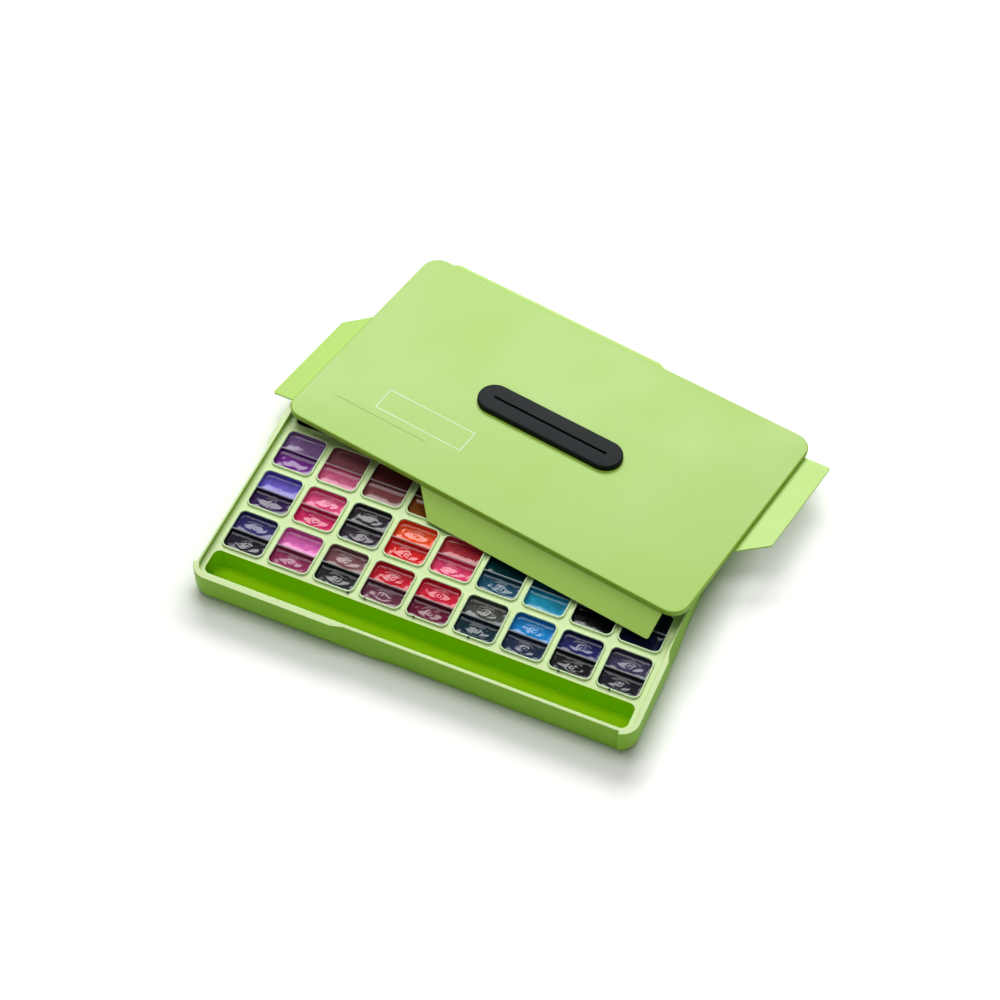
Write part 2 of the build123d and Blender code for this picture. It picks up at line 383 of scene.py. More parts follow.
def moulded_plastic(name, colour, roughness, gloss, grain=0.012 * MM, variation=0.03):
    """Plastic with a fine spark-eroded grain and faint cloudy shades."""
    surface = Surface(name)
    cloud = surface.noise(CLOUDS)
    surface.shades(cloud, shaded(colour, 1 - variation), shaded(colour, 1 + variation))
    surface.roughness(cloud, roughness - ROUGHNESS_SPREAD, roughness + ROUGHNESS_SPREAD)
    surface.level("Specular IOR Level", gloss)
    surface.bump(surface.noise(SHELL_GRAIN, detail=2.0), grain, strength=0.5)
    return surface.material


def trough_painted_shade_plastic(name, front, back):
    """Shell plastic of the trough with painted shade and light, darker towards its lit front floor and
    brighter at its shaded back wall; front and back are a place and a colour.
    """
    surface = Surface(name)
    place = surface.nodes.new("ShaderNodeSeparateXYZ")
    surface.links.new(surface.place, place.inputs["Vector"])
    depth = surface.map_range(place.outputs["Y"], (front[0], back[0]), NOISE_RANGE)
    surface.shades(depth, front[1], back[1])
    surface.level("Roughness", 0.55)
    surface.level("Specular IOR Level", 0.05)
    return surface.material


def milky_plastic(name, roughness, grain):
    """Milky plastic that takes its colour from the mesh, where the paint has stained it."""
    surface = Surface(name)
    cloud = surface.noise(CUP_CLOUDS)
    surface.tint("stain", cloud, 0.96, 1.03)
    surface.roughness(cloud, roughness - ROUGHNESS_SPREAD, roughness + ROUGHNESS_SPREAD)
    surface.bump(surface.noise(CUP_GRAIN, detail=2.0), grain, strength=0.4)
    return surface.material


def wet_paint(name):
    """Glossy gouache that takes its colour from the mesh, a little streaky."""
    surface = Surface(name)
    streaks = surface.noise(PAINT_STREAKS)
    surface.tint("paint", streaks, 0.82, 1.1)
    surface.roughness(streaks, 0.08, 0.15)
    surface.level("Specular IOR Level", 0.4)
    surface.bump(surface.noise(PAINT_GRAIN), distance=0.03 * MM, strength=0.3)
    return surface.material


def printed_ink(name, colour):
    surface = Surface(name)
    surface.shades(surface.noise(INK_SPECKLE), shaded(colour, 0.94), colour)
    surface.level("Roughness", 0.5)
    return surface.material


# ---- mesh tools ------------------------------------------------------------------------
def add_piece(name, mesh, body, material, nodes=()):
    """Puts a finished mesh in the scene, on its body, in place of the nodes it stands for."""
    piece = bpy.data.objects.new(name, mesh)
    bpy.context.scene.collection.objects.link(piece)
    mesh.materials.clear()
    mesh.materials.append(material)
    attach(piece, body)
    if nodes:
        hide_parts(*nodes)
    return piece


def smooth_by_angle(mesh, degrees):
    mesh.shade_smooth()
    mesh.set_sharp_from_angle(angle=math.radians(degrees))


def rounded_copy(node, name, radius, material, segments=3):
    """A node's own shape with its edges rounded."""
    model = bmesh.new()
    model.from_mesh(frame["nodes"][node].data)
    bmesh.ops.remove_doubles(model, verts=model.verts, dist=WELD_DISTANCE)
    mesh = bpy.data.meshes.new(name)
    model.to_mesh(mesh)
    model.free()
    for layer in list(mesh.attributes):
        if layer.name == "custom_normal":
            mesh.attributes.remove(layer)
    smooth_by_angle(mesh, SHARP_ANGLE)
    piece = add_piece(name, mesh, body_of_node[node], material, (node,))
    bevel = piece.modifiers.new("rounded_edges", "BEVEL")
    bevel.width = radius
    bevel.segments = segments
    bevel.limit_method = "ANGLE"
    bevel.angle_limit = math.radians(SHARP_ANGLE)
    bevel.use_clamp_overlap = False
    bevel.harden_normals = True
    bevel.loop_slide = False
    return piece


def assign_faces(mesh, material, low, high, upward=False):
    """Gives a material to the faces whose middles lie in a box, or only to those of them that face up."""
    mesh.materials.append(material)
    slot = len(mesh.materials) - 1
    for face in mesh.polygons:
        inside = all(a <= middle <= b for a, middle, b in zip(low, face.center, high))
        if inside and (not upward or face.normal.z > LEVEL_ENOUGH):
            face.material_index = slot


def assign_outside(mesh, material, low, high):
    """Gives a material to the faces that still have the first one and whose middles lie outside a box."""
    mesh.materials.append(material)
    slot = len(mesh.materials) - 1
    for face in mesh.polygons:
        inside = all(a < middle < b for a, middle, b in zip(low, face.center, high))
        if not inside and face.material_index == 0:
            face.material_index = slot


def rounded_ring(half_x, half_y, radius, height, steps):
    """Points round a rectangle with rounded corners, anticlockwise from above."""
    ring = []
    for quarter in range(4):
        sign_x = 1 if quarter in (0, 3) else -1
        sign_y = 1 if quarter in (0, 1) else -1
        for step in range(steps + 1):
            angle = math.pi / 2 * (quarter + step / steps)
            ring.append(
                (
                    sign_x * (half_x - radius) + radius * math.cos(angle),
                    sign_y * (half_y - radius) + radius * math.sin(angle),
                    height,
                )
            )
    return ring


def band_faces(model, loops):
    """Skins loops of vertices of equal length in order, and gives back the faces."""
    faces = []
    for lower, upper in zip(loops, loops[1:]):
        for index in range(len(lower)):
            following = (index + 1) % len(lower)
            corners = (lower[index], lower[following], upper[following], upper[index])
            faces.append(model.faces.new(corners))
    return faces


def skin_loops(model, loops):
    """Skins loops of vertices in order and closes the first and the last; gives back the faces."""
    faces = band_faces(model, loops)
    faces.append(model.faces.new(list(reversed(loops[0]))))
    faces.append(model.faces.new(loops[-1]))
    return faces


def loft_rings(model, rings):
    """Skins rings of points of equal length, in order, into a closed form."""
    skin_loops(model, [[model.verts.new(point) for point in ring] for ring in rings])


def finish_mesh(model, name, degrees=40):
    bmesh.ops.recalc_face_normals(model, faces=model.faces)
    mesh = bpy.data.meshes.new(name)
    model.to_mesh(mesh)
    model.free()
    smooth_by_angle(mesh, degrees)
    return mesh


# ---- cups ------------------------------------------------------------------------------
LIP_FACETS = 8  # over a lip's half circle
LIP_FULLNESS = 1.25  # above 1 the lip's top is flattened
FOOT_ROUND_SHARE = 0.6  # of the floor's thickness
BAR_FACETS = 6
BAR_CROWN_SHARE = 0.7  # of half the bar's width
BAR_BITE_SHARE = 0.2  # of the wall's thickness, by which the bar's ends reach into it
BAR_OWN_SHARE, BAR_STAIN_SHARE = 0.55, 0.3  # of the bar's own colour and of the paints'


def cup_shape(cups):
    """One twin cup about its own middle, with z from the floor that the box stands on."""
    outer_x = (cup_high.x - cup_low.x) / 2
    outer_y = (cup_high.y - cup_low.y) / 2
    top = cup_high.z
    bottom = cup_low.z
    steps = cups.corner_steps
    open_x = outer_x - cups.lip_width
    open_y = outer_y - cups.lip_width
    lip_corner = cups.corner_radius + cups.lip_width
    under_lip = top - cups.lip_height
    slope = math.tan(cups.draft)
    floor = bottom + cups.floor
    drawn_in = slope * (top - floor)
    foot_in = slope * (under_lip - bottom)
    rings = [
        rounded_ring(open_x - drawn_in, open_y - drawn_in, cups.corner_radius - drawn_in, floor, steps)
    ]
    # over the lip, in a half circle of its own width, from the opening to the outer edge
    crown = cups.lip_width / 2
    for turn in range(LIP_FACETS + 1):
        angle = math.pi * (1 - turn / LIP_FACETS)
        out = crown + crown * math.cos(angle)
        rise = min(1.0, LIP_FULLNESS * math.sin(angle)) * cups.lip_height * 0.5
        rings.append(
            rounded_ring(
                open_x + out,
                open_y + out,
                cups.corner_radius + out,
                top - cups.lip_height * 0.5 + rise,
                steps,
            )
        )
    wall_x = open_x + cups.wall
    wall_y = open_y + cups.wall
    wall_corner = cups.corner_radius + cups.wall
    rings.append(rounded_ring(outer_x, outer_y, lip_corner, under_lip, steps))
    rings.append(rounded_ring(wall_x, wall_y, wall_corner, under_lip, steps))
    foot_round = cups.floor * FOOT_ROUND_SHARE
    rings.append(
        rounded_ring(wall_x - foot_in, wall_y - foot_in, wall_corner - foot_in, bottom + foot_round, steps)
    )
    tuck = foot_in + foot_round
    rings.append(rounded_ring(wall_x - tuck, wall_y - tuck, wall_corner - tuck, bottom, steps))
    return rings


def add_divider(model, cups):
    """The bar between a cup's halves, with a rounded top; gives back its faces."""
    half = (cup_high.x - cup_low.x) / 2 - cups.lip_width + cups.wall * BAR_BITE_SHARE
    slope = math.tan(cups.draft)
    floor = cup_low.z + cups.floor * 0.5
    top = cup_high.z - cups.divider_drop
    radius = cups.divider_width / 2
    crown = radius * BAR_CROWN_SHARE
    profile = [(-radius, floor)]
    for turn in range(BAR_FACETS + 1):
        angle = math.pi * (1 - turn / BAR_FACETS)
        profile.append((radius * math.cos(angle), top - crown + crown * math.sin(angle)))
    profile.append((radius, floor))
    ends = []
    for sign in (-1, 1):
        reach = [half - slope * (cup_high.z - height) for _, height in profile]
        ends.append([model.verts.new((sign * x, y, z)) for x, (y, z) in zip(reach, profile)])
    return skin_loops(model, ends)


def stained(bar, back, front):
    """The bar's colour with some of both paints in it."""
    channels = zip(bar, back, front)
    return tuple(BAR_OWN_SHARE * own + BAR_STAIN_SHARE * (one + two) / 2 for own, one, two in channels)


def tint_faces(faces, layer, colour):
    for face in faces:
        for corner in face.loops:
            corner[layer] = (*colour, 1)


def cup_middle(row, column):
    low, high = cup_box(row, column)
    return Vector(((low.x + high.x) / 2, (low.y + high.y) / 2, 0))


class PAINTBOX_OT_cups(Operator):
    """Make the milky twin cups, each with a rolled lip and a bar between its halves"""

    bl_idname = "paintbox.cups"
    bl_label = "Twin cups"

    def execute(self, context):
        cups = context.scene.box_cups
        material = milky_plastic("milky_cup", roughness=0.28, grain=0.01 * MM)
        for row in range(1, rows + 1):
            for column in range(1, columns + 1):
                back, front = (paint_colour(code) for code in PAINTS[row][column - 1])
                model = bmesh.new()
                stain = model.loops.layers.float_color.new("stain")
                loft_rings(model, cup_shape(cups))
                tint_faces(model.faces, stain, cups.colour)
                bar = add_divider(model, cups)
                tint_faces(bar, stain, stained(cups.bar_colour, back, front))
                bmesh.ops.translate(model, verts=model.verts, vec=cup_middle(row, column))
                node = f"cup_{row}_{column}"
                mesh = finish_mesh(model, f"twin_{node}", degrees=50)
                add_piece(f"twin_{node}", mesh, body_of_node[node], material, (node,))
        return {"FINISHED"}


# ---- paint -----------------------------------------------------------------------------
RIPPLE_LENGTH = 4.5 * MM
DRIFT_ALONG = 2.2 * MM  # how far a ring may lie from the middle of its half
DRIFT_ACROSS = 1.0 * MM
RING_THICKNESS = 0.6 * MM
FOLD_SOFTNESS = 0.16  # as a share of the fold's own reach
POOL_SOFTNESS = 0.05
FILM_THICKNESS = 0.12 * MM
WALL_GAP = 0.03 * MM
SMOOTH_EDGE = 1.3 * MM  # the skin settles over this distance from the walls
CREEP_HEIGHT = 0.45 * MM  # paint that creeps up the walls
CREEP_WIDTH = 0.8 * MM
SMALLEST_RADIUS = 0.5 * MM
FILM_RAGGEDNESS = 0.5 * MM
BAR_FILM_DROP = 0.55 * MM  # top of the film on the bar, below the bar's top
BAR_FILM_RAGGEDNESS = 0.2 * MM
BACK_DISH_SHARE = 0.1  # the skin stays nearly level on its back side
LAST_RUNG = 0.996
DAB_SHAPE = (0.5, 0.36)  # shares of the dab's length, along the lip and across it
DAB_HEIGHT_SHARE = 0.42  # share of the lip's height
DAB_LUMPS = 0.25
DAB_INSET_SHARE = 0.15  # of the lip's width, from its outer edge
DAB_DROP_SHARE = 0.25  # of the lip's height


def swirl(x, y, seed, side, calm, paint):
    """Height of the paint's skin in one half cup: a nozzle ring, a fold round it and ripples."""
    drift_x, drift_y = (noise.noise(Vector((seed * 3.7, shift, 0.9))) for shift in (0.3, 5.3))
    place = Vector((x / RIPPLE_LENGTH, y / RIPPLE_LENGTH, seed * 7.1))
    ripple = paint.ripple * (noise.noise(place) + 0.12 * noise.noise(place * 3.1))
    if calm:
        return 0.5 * ripple
    x, y = x - drift_x * DRIFT_ALONG, y - drift_y * DRIFT_ACROSS
    turn = math.atan2(y, x)
    radius = math.hypot(x, 1.15 * y) * (1 + 0.12 * noise.noise(place * 0.9))
    strength = 0.75 + 0.5 * noise.noise(Vector((seed * 1.9, 4.2, 0.0)))
    broken = 0.75 + 0.35 * math.sin(turn + seed)
    ring = paint.ring_height * broken * math.exp(-(((radius - paint.ring_radius) / RING_THICKNESS) ** 2))
    bump = paint.bump_height * math.exp(-((radius / (0.5 * paint.ring_radius)) ** 2))
    wobble = 1 + 0.2 * noise.noise(place * 0.7)
    reach = math.hypot(x / (paint.fold_length * wobble), y / (paint.fold_width * wobble))
    swell = 0.6 + 0.4 * math.cos(2 * turn + 0.8 * seed)
    fold = paint.fold_height * swell * math.exp(-(((reach - 1) / FOLD_SOFTNESS) ** 2))
    # the pool inside the fold leans a little away from the front
    lean = -side * y * paint.lean / (1 + math.exp((reach - 1) / POOL_SOFTNESS))
    return strength * (ring + bump + fold) + lean + ripple


def half_width(y, half_x, far_y, radius):
    """Half the length of a half cup at a distance y from the divider, inside its rounded corners."""
    into = y - (far_y - radius)
    if into <= 0:
        return half_x
    return half_x - radius + math.sqrt(max(0.0, radius**2 - min(into, radius) ** 2))


class HalfCup:
    """The inside of half a cup, with y counted from the middle of the bar towards the far wall."""

    def __init__(self, cups, middle, side):
        self.middle = middle
        self.side = side
        self.slope = math.tan(cups.draft)
        self.open_x = (cup_high.x - cup_low.x) / 2 - cups.lip_width
        self.open_y = (cup_high.y - cup_low.y) / 2 - cups.lip_width
        self.near_y = cups.divider_width / 2
        self.corner_radius = cups.corner_radius

    def edge(self, height, inset):
        """Half length, near wall, far wall and corner radius at a height, inset from the walls."""
        drawn = self.slope * (cup_high.z - height) + inset
        radius = max(SMALLEST_RADIUS, self.corner_radius - drawn)
        return self.open_x - drawn, self.near_y + inset, self.open_y - drawn, radius

    def point(self, u, v, height, inset):
        """A point u of the way out to the ends, from -1 to 1, and v of the way to the far wall."""
        half_x, near, far, radius = self.edge(height, inset)
        y = near + v * (far - near)
        return Vector((u * half_width(y, half_x, far, radius), y, height))

    def corner(self, model, point):
        """A new vertex of the model at a point of this half cup."""
        y = point.y if self.side > 0 else -point.y
        return model.verts.new(self.middle + Vector((point.x, y, point.z)))


def paint_skin(half, across, rungs, seed, calm, paint):
    """Points over the paint's skin, in rows from the bar to the far wall."""
    inset = FILM_THICKNESS + WALL_GAP
    half_x, near, far, radius = half.edge(paint_high.z, inset)
    centre_y = (near + far) / 2
    grid = []
    for v in rungs:
        line = []
        for step in range(across + 1):
            point = half.point(2 * step / across - 1, v, paint_high.z, inset)
            reach = half_width(point.y, half_x, far, radius)
            wall = max(0.0, min(reach - abs(point.x), point.y - near, far - point.y))
            settled = 1 - math.exp(-wall / SMOOTH_EDGE)
            creep = CREEP_HEIGHT * math.exp(-wall / CREEP_WIDTH)
            from_centre = (point.y - centre_y) / (centre_y - near)
            share = 1 if from_centre * -half.side > 0 else BACK_DISH_SHARE
            dish = paint.dish * (from_centre**2 * share - 0.5)
            relief = swirl(point.x, point.y - centre_y, seed, half.side, calm, paint)
            point.z += settled * (relief + dish) + creep
            line.append(point)
        grid.append(line)
    return grid


def film_crest(u, v, on_bar, seed, cups, paint):
    """Height of the ragged upper edge of the paint's film, on the wall or on the bar."""
    shown = noise.noise(Vector((u * 4, v * 4, seed * 5.3)))
    if on_bar:
        return cup_high.z - (cups.divider_drop + BAR_FILM_DROP + BAR_FILM_RAGGEDNESS * shown)
    return cup_high.z - (paint.film_drop + FILM_RAGGEDNESS * (1 + shown))


def half_fill(model, half, seed, calm, coarse, cups, paint):
    """One half of a cup's paint: its skin, the film it leaves on the walls, and its body."""
    across = paint.across // (2 if coarse else 1)
    deep = paint.deep // (2 if coarse else 1)
    # rows bunch up towards the rounded corners
    rungs = [math.sin(math.pi / 2 * row / deep) for row in range(deep + 1)]
    rungs[-1] = LAST_RUNG
    grid = paint_skin(half, across, rungs, seed, calm, paint)
    skin = [[half.corner(model, point) for point in line] for line in grid]
    # round the skin: along the bar, up one side, along the far wall and back
    loop = [(0, step) for step in range(across + 1)]
    loop += [(row, across) for row in range(1, deep + 1)]
    loop += [(deep, step) for step in range(across - 1, -1, -1)]
    loop += [(row, 0) for row in range(deep - 1, 0, -1)]
    places = [(2 * step / across - 1, rungs[row]) for row, step in loop]
    crests = []
    for (row, step), (u, v) in zip(loop, places):
        on_bar = row == 0 and 0 < step < across
        crests.append(film_crest(u, v, on_bar, seed, cups, paint))
    foot = [paint_low.z] * len(loop)
    rings = [[skin[row][step] for row, step in loop]]
    for inset, heights in ((FILM_THICKNESS + WALL_GAP, crests), (WALL_GAP, crests), (WALL_GAP, foot)):
        points = [half.point(u, v, height, inset) for (u, v), height in zip(places, heights)]
        rings.append([half.corner(model, point) for point in points])
    faces = []
    for near, far in zip(skin, skin[1:]):
        for step in range(across):
            faces.append(model.faces.new((near[step], near[step + 1], far[step + 1], far[step])))
    faces += band_faces(model, rings)
    faces.append(model.faces.new(rings[-1]))
    return faces


def add_dab(model, middle, along_lip, cups, paint):
    """A dab of paint that hangs over the front lip of a cup."""
    front = -(cup_high.y - cup_low.y) / 2
    place = middle + Vector((along_lip, front + DAB_INSET_SHARE * cups.lip_width, 0))
    place.z = cup_high.z - DAB_DROP_SHARE * cups.lip_height
    before = set(model.faces)
    made = bmesh.ops.create_icosphere(model, subdivisions=3, radius=1.0)
    along_share, across_share = DAB_SHAPE
    length = paint.dab_length
    size = Vector((length * along_share, length * across_share, cups.lip_height * DAB_HEIGHT_SHARE))
    for vertex in made["verts"]:
        lump = 1 + DAB_LUMPS * noise.noise(vertex.co * 1.3 + middle * 90)
        vertex.co = place + Vector([way * reach * lump for way, reach in zip(vertex.co, size)])
    return set(model.faces) - before


class PAINTBOX_OT_paint(Operator):
    """Fill the cups with wet gouache, two colours to a cup"""

    bl_idname = "paintbox.paint"
    bl_label = "Wet paint"

    def execute(self, context):
        cups = context.scene.box_cups
        paint = context.scene.box_paint
        material = wet_paint("wet_gouache")
        fills = {}
        for row in range(1, rows + 1):
            for column in range(1, columns + 1):
                fills.setdefault(paint_node(row, column), []).append((row, column))
        for node, cells in fills.items():
            model = bmesh.new()
            tint = model.loops.layers.float_color.new("paint")
            for row, column in cells:
                middle = cup_middle(row, column)
                for side, code in zip((1, -1), PAINTS[row][column - 1]):
                    half = HalfCup(cups, middle, side)
                    seed = row * 20 + column * 2 + (side > 0)
                    calm = (row, column, side) in SETTLED
                    faces = half_fill(model, half, seed, calm, row > LAST_OPEN_ROW, cups, paint)
                    tint_faces(faces, tint, paint_colour(code))
                if row == 1 and column in DABS:
                    faces = add_dab(model, middle, DABS[column] * MM, cups, paint)
                    tint_faces(faces, tint, paint_colour(code))
            mesh = finish_mesh(model, f"wet_{node}", degrees=60)
            add_piece(f"wet_{node}", mesh, body_of_node[node], material, (node,))
        return {"FINISHED"}


# ---- tray, lid, insert and flaps ---------------------------------------------------------
def shell_material(context):
    shell = context.scene.box_shell
    known = bpy.data.materials.get("lime_shell")
    return known or moulded_plastic("lime_shell", shell.colour, roughness=0.4, gloss=0.65)


# how far in from the tray's outside a face still belongs to its outer wall
WALL_DEPTH = Vector((3.6 * MM, 3.6 * MM, 0))
# the trough's faces reach past its opening's box by this much, and stop this far below the deck
TROUGH_MARGIN = Vector((6 * MM, 3 * MM, 0))
TROUGH_EDGE = 0.6 * MM


class PAINTBOX_OT_tray(Operator):
    """Round the moulded edges of the tray"""

    bl_idname = "paintbox.tray"
    bl_label = "Tray"

    def execute(self, context):
        shell = context.scene.box_shell
        material = shell_material(context)
        mesh = rounded_copy("tray", "moulded_tray", shell.edge_radius, material).data
        deck = cup_high.z - context.scene.box_cups.lip_height
        # painted sheen: the tray's top faces get a paler colour in place of the highlight they catch
        painted_sheen = moulded_plastic("lime_deck_painted_sheen", shell.deck_painted_sheen_colour, roughness=0.36, gloss=0.6, grain=0.01 * MM)
        deck_low = Vector((tray_low.x, tray_low.y, deck - MM))
        assign_faces(mesh, painted_sheen, deck_low, tray_high + Vector((0, 0, MM)), upward=True)
        openings = frame["record"]["physics"]["openings"]
        trough = next(item for item in openings if item["name"] == "brush_trough")
        low, high = (Vector(corner) for corner in trough["box_m"])
        high.z = deck - TROUGH_EDGE
        # painted shade and light: the trough runs from a dark front to a bright back by place alone
        inside = trough_painted_shade_plastic("lime_trough_painted_shade", (low.y, shell.trough_front_painted_shade), (high.y, shell.trough_back_painted_light))
        assign_faces(mesh, inside, low - TROUGH_MARGIN - Vector((0, 0, MM)), high + TROUGH_MARGIN)
        # painted shade: the outer walls get a deeper green than the shell
        wall = moulded_plastic("lime_wall_painted_shade", shell.wall_painted_shade_colour, roughness=0.45, gloss=0.3)
        assign_outside(mesh, wall, tray_low + WALL_DEPTH, tray_high - WALL_DEPTH)
        return {"FINISHED"}


class PAINTBOX_OT_lid(Operator):
    """Round the moulded edges of the lid"""

    bl_idname = "paintbox.lid"
    bl_label = "Lid"

    def execute(self, context):
        shell = context.scene.box_shell
        rounded_copy("lid", "moulded_lid", shell.lid_edge_radius, shell_material(context))
        return {"FINISHED"}


class PAINTBOX_OT_flaps(Operator):
    """Round the flaps and join each to the lid with a film hinge"""

    bl_idname = "paintbox.flaps"
    bl_label = "Flaps"

    def execute(self, context):
        shell = context.scene.box_shell
        material = shell_material(context)
        # painted light: the flaps' lighter green
        thin = moulded_plastic("lime_flap_painted_light", shell.flap_painted_light_colour, roughness=0.4, gloss=0.5)
        for side in SIDES:
            node = f"flap_{side}"
            rounded_copy(node, f"moulded_{node}", shell.flap_edge_radius, thin, segments=2)
            axis = hinge_axis(side)
            centre = hinge_point(side)
            low, high = span(node, axis, centre)
            # the hinge runs along the flap's inner edge, which is as long as the flap
            radius = shell.hinge_radius
            middle = centre + axis * (low + high) / 2 - lid_z * radius * 0.2
            model = bmesh.new()
            size = {"radius1": radius, "radius2": radius, "depth": high - low}
            bmesh.ops.create_cone(model, cap_ends=True, segments=12, **size)
            turn = axis.to_track_quat("Z", "Y").to_matrix().to_4x4()
            bmesh.ops.transform(model, matrix=Matrix.Translation(middle) @ turn, verts=model.verts)
            mesh = finish_mesh(model, f"film_hinge_{side}", degrees=50)
            add_piece(f"film_hinge_{side}", mesh, body_of_node["lid"], material, ())
        return {"FINISHED"}


class PAINTBOX_OT_insert(Operator):
    """Give the lid's dark insert its gloss and soft edges"""

    bl_idname = "paintbox.insert"
    bl_label = "Insert"

    def execute(self, context):
        insert = context.scene.box_insert
        look = {"roughness": 0.45, "gloss": 0.1, "grain": 0.01 * MM, "variation": 0.08}
        material = moulded_plastic("dark_insert", insert.colour, **look)
        rounded_copy("lid_insert", "lid_grip", insert.edge_radius, material)
        return {"FINISHED"}


def add_print(name, bars, ink, thickness):
    """Flat bars of ink on the lid's top face, each from its low x and y to its high x and y."""
    model = bmesh.new()
    for low_x, low_y, high_x, high_y in bars:
        corners = ((low_x, low_y), (high_x, low_y), (high_x, high_y), (low_x, high_y))
        lower = [model.verts.new(on_lid(x, y, -thickness)) for x, y in corners]
        upper = [model.verts.new(on_lid(x, y, thickness)) for x, y in corners]
        skin_loops(model, (lower, upper))
    add_piece(name, finish_mesh(model, name), body_of_node["lid"], ink)


class PAINTBOX_OT_print(Operator):
    """Print a plain outline frame and a thin rule on the lid"""

    bl_idname = "paintbox.print"
    bl_label = "Print"

    def execute(self, context):
        plain = context.scene.box_print
        line = plain.line_width
        low_x = plain.frame_x - plain.frame_length / 2
        high_x = plain.frame_x + plain.frame_length / 2
        low_y = plain.frame_y - plain.frame_width / 2
        high_y = plain.frame_y + plain.frame_width / 2
        outline = (
            (low_x, low_y, high_x, low_y + line),
            (low_x, high_y - line, high_x, high_y),
            (low_x, low_y + line, low_x + line, high_y - line),
            (high_x - line, low_y + line, high_x, high_y - line),
        )
        add_print("printed_frame", outline, printed_ink("white_ink", plain.frame_colour), plain.thickness)
        low_x = plain.rule_x - plain.rule_length / 2
        high_x = plain.rule_x + plain.rule_length / 2
        rule = (low_x, plain.rule_y - line / 4, high_x, plain.rule_y + line / 4)
        add_print("printed_rule", (rule,), printed_ink("grey_ink", plain.rule_colour), plain.thickness)
        return {"FINISHED"}


# ---- stage -----------------------------------------------------------------------------
FLOOR_REACH = 6.0
FLOOR_DROP = 0.2 * MM
# painted light: the floor's faint green tint stands in for green light bounced from the lime box
FLOOR_TONES_PAINTED_BOUNCE = ((0.895, 0.91, 0.87), (0.915, 0.93, 0.89))
# The camera sees the floor brighten over these distances from the tray: close by, and far away.
NEAR_RISE = (0.0, 50 * MM)
FAR_RISE = (0.8, 2.4)
SENSOR_WIDTH = 36
CLIP_END = 50.0
LIGHT_AIM = Vector((0, 0.05, 0))
KEY_PLACE = Vector((-1.29, 3.55, 3.28))
KEY_SIZE = (3.8, 1.66)
TOP_PLACE = Vector((-0.3, 0.9, 4.9))
TOP_SIZE = (5.0, 2.0)


def floor_material(lift, low, high):
    """A white floor that keeps the box's shadow and brightens away from it where the camera sees it."""
    surface = Surface("white_floor")
    nodes, links = surface.nodes, surface.links
    surface.shades(surface.noise(FLOOR_CLOUDS), *FLOOR_TONES_PAINTED_BOUNCE)
    surface.level("Roughness", 0.9)
    surface.level("Specular IOR Level", 0.0)
    # distance from the tray's outline, counted double sideways
    away = surface.place
    for operation, value in (
        ("SUBTRACT", (low + high) / 2),
        ("ABSOLUTE", None),
        ("SUBTRACT", (high - low) / 2),
        ("MAXIMUM", (0, 0, 0)),
        ("MULTIPLY", (2, 1, 0)),
    ):
        step = nodes.new("ShaderNodeVectorMath")
        step.operation = operation
        links.new(away, step.inputs[0])
        if value is not None:
            step.inputs[1].default_value = value
        away = step.outputs["Vector"]
    distance = nodes.new("ShaderNodeVectorMath")
    distance.operation = "LENGTH"
    links.new(away, distance.inputs[0])
    brighter = nodes.new("ShaderNodeMath")
    brighter.operation = "MAXIMUM"
    for index, (reach, most) in enumerate(((NEAR_RISE, lift), (FAR_RISE, 1.0))):
        rise = surface.map_range(distance.outputs["Value"], reach, (0.0, most))
        links.new(rise, brighter.inputs[index])
    path = nodes.new("ShaderNodeLightPath")
    gain = nodes.new("ShaderNodeMath")
    gain.operation = "MULTIPLY"
    links.new(path.outputs["Is Camera Ray"], gain.inputs[0])
    links.new(brighter.outputs["Value"], gain.inputs[1])
    surface.level("Emission Color", (1, 1, 1, 1))
    surface.feed("Emission Strength", gain.outputs["Value"])
    return surface.material


def white_world(strength):
    """Even light from all round, and plain white where the camera sees past the floor."""
    world = bpy.data.worlds.new("studio")
    world.use_nodes = True
    nodes = world.node_tree.nodes
    links = world.node_tree.links
    background = nodes["Background"]
    background.inputs["Color"].default_value = (1, 1, 1, 1)
    path = nodes.new("ShaderNodeLightPath")
    level = nodes.new("ShaderNodeMapRange")
    level.inputs["To Min"].default_value = strength
    level.inputs["To Max"].default_value = 1.0
    links.new(path.outputs["Is Camera Ray"], level.inputs["Value"])
    links.new(level.outputs["Result"], background.inputs["Strength"])
    return world


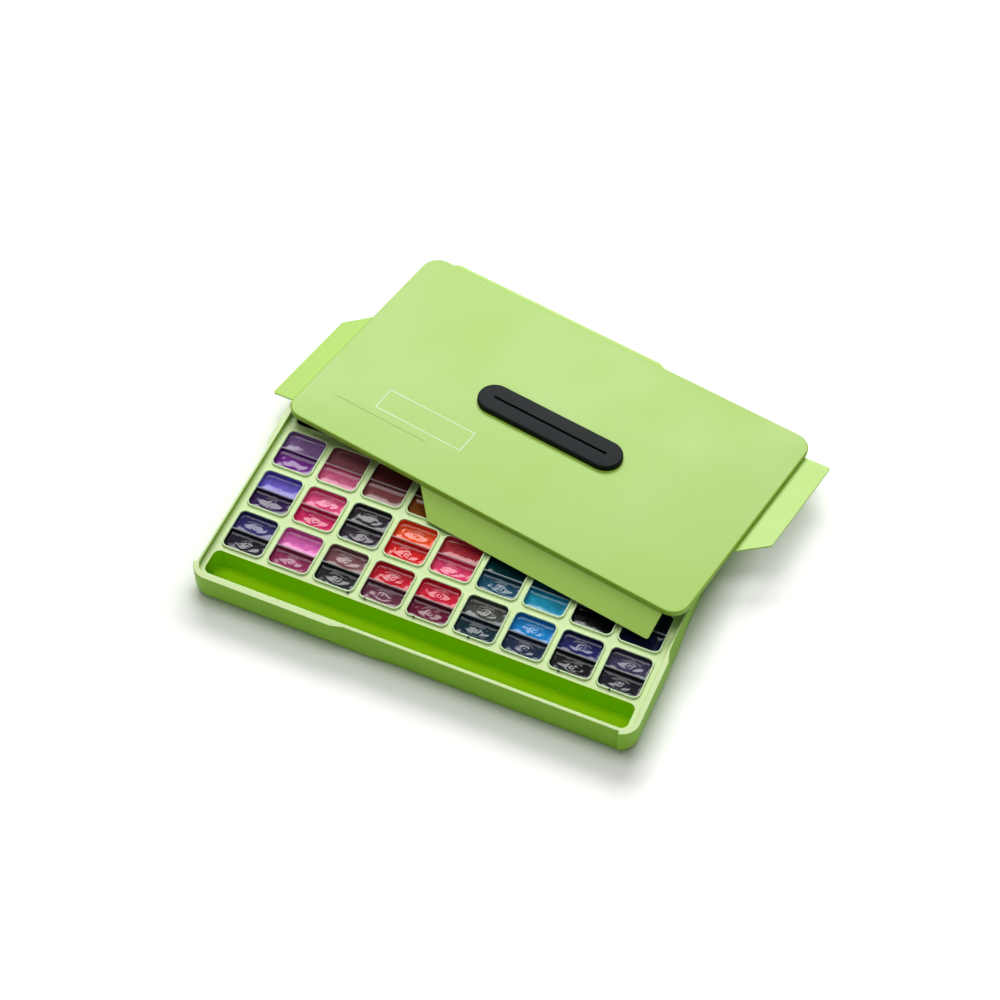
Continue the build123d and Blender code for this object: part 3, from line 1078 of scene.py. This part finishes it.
class PAINTBOX_OT_stage(Operator):
    """Set up the floor, the soft light and the camera"""

    bl_idname = "paintbox.stage"
    bl_label = "Stage"

    def add_floor(self, scene, lift):
        mesh = bpy.data.meshes.new("studio_floor")
        reach = FLOOR_REACH
        corners = [(-reach, -reach, 0), (reach, -reach, 0), (reach, reach, 0), (-reach, reach, 0)]
        mesh.from_pydata(corners, [], [(0, 1, 2, 3)])
        mesh.materials.append(floor_material(lift, tray_low, tray_high))
        floor = bpy.data.objects.new("studio_floor", mesh)
        floor.location.z = -FLOOR_DROP
        scene.collection.objects.link(floor)

    def add_softbox(self, scene, name, place, size, power):
        light = bpy.data.lights.new(name, "AREA")
        light.shape = "RECTANGLE"
        light.size, light.size_y = size
        light.energy = power
        lamp = bpy.data.objects.new(name, light)
        scene.collection.objects.link(lamp)
        lamp.location = place
        lamp.rotation_euler = (LIGHT_AIM - place).to_track_quat("-Z", "Y").to_euler()

    def add_camera(self, scene, stage):
        azimuth = stage.camera_azimuth
        elevation = stage.camera_elevation
        forward = Vector(
            (
                -math.sin(azimuth) * math.cos(elevation),
                math.cos(azimuth) * math.cos(elevation),
                -math.sin(elevation),
            )
        )
        target = Vector((stage.target_x, stage.target_y, 0))
        camera = bpy.data.objects.new("camera", bpy.data.cameras.new("camera"))
        camera.data.sensor_width = SENSOR_WIDTH
        camera.data.lens = stage.focal_length
        camera.data.clip_end = CLIP_END
        camera.location = target - forward * stage.camera_distance
        look = forward.to_track_quat("-Z", "Y").to_matrix().to_4x4()
        roll = Matrix.Rotation(stage.camera_roll, 4, "Z")
        camera.rotation_euler = (look @ roll).to_euler()
        scene.collection.objects.link(camera)
        scene.camera = camera

    def execute(self, context):
        scene = context.scene
        stage = scene.box_stage
        self.add_floor(scene, stage.floor_lift)
        self.add_softbox(scene, "key_light", KEY_PLACE, KEY_SIZE, stage.key_power)
        self.add_softbox(scene, "top_light", TOP_PLACE, TOP_SIZE, stage.top_power)
        scene.world = white_world(stage.fill_strength)
        scene.view_settings.view_transform = "Standard"
        self.add_camera(scene, stage)
        return {"FINISHED"}


# ---- add-on ----------------------------------------------------------------------------
OPERATORS = (
    PAINTBOX_OT_tray,
    PAINTBOX_OT_cups,
    PAINTBOX_OT_paint,
    PAINTBOX_OT_lid,
    PAINTBOX_OT_insert,
    PAINTBOX_OT_flaps,
    PAINTBOX_OT_print,
    PAINTBOX_OT_stage,
)


class PAINTBOX_PT_sidebar(Panel):
    """Buttons and settings of the gouache paint box"""

    bl_idname = "PAINTBOX_PT_sidebar"
    bl_label = "Gouache paint box"
    bl_space_type = "VIEW_3D"
    bl_region_type = "UI"
    bl_category = "Paint box"

    def draw(self, context):
        column = self.layout.column(align=True)
        for operator in OPERATORS:
            column.operator(operator.bl_idname)
        for name, group in SETTINGS.items():
            box = self.layout.box()
            box.label(text=group.__doc__)
            for key in group.__annotations__:
                box.prop(getattr(context.scene, name), key)


CLASSES = (*SETTINGS.values(), *OPERATORS, PAINTBOX_PT_sidebar)


def register():
    for cls in CLASSES:
        bpy.utils.register_class(cls)
    for name, group in SETTINGS.items():
        setattr(bpy.types.Scene, name, PointerProperty(type=group))


def unregister():
    for name in SETTINGS:
        delattr(bpy.types.Scene, name)
    for cls in reversed(CLASSES):
        bpy.utils.unregister_class(cls)


def main():
    register()
    bpy.ops.paintbox.tray()
    bpy.ops.paintbox.cups()
    bpy.ops.paintbox.paint()
    bpy.ops.paintbox.lid()
    bpy.ops.paintbox.insert()
    bpy.ops.paintbox.flaps()
    bpy.ops.paintbox.print()
    bpy.ops.paintbox.stage()


if __name__ == "__main__":
    main()
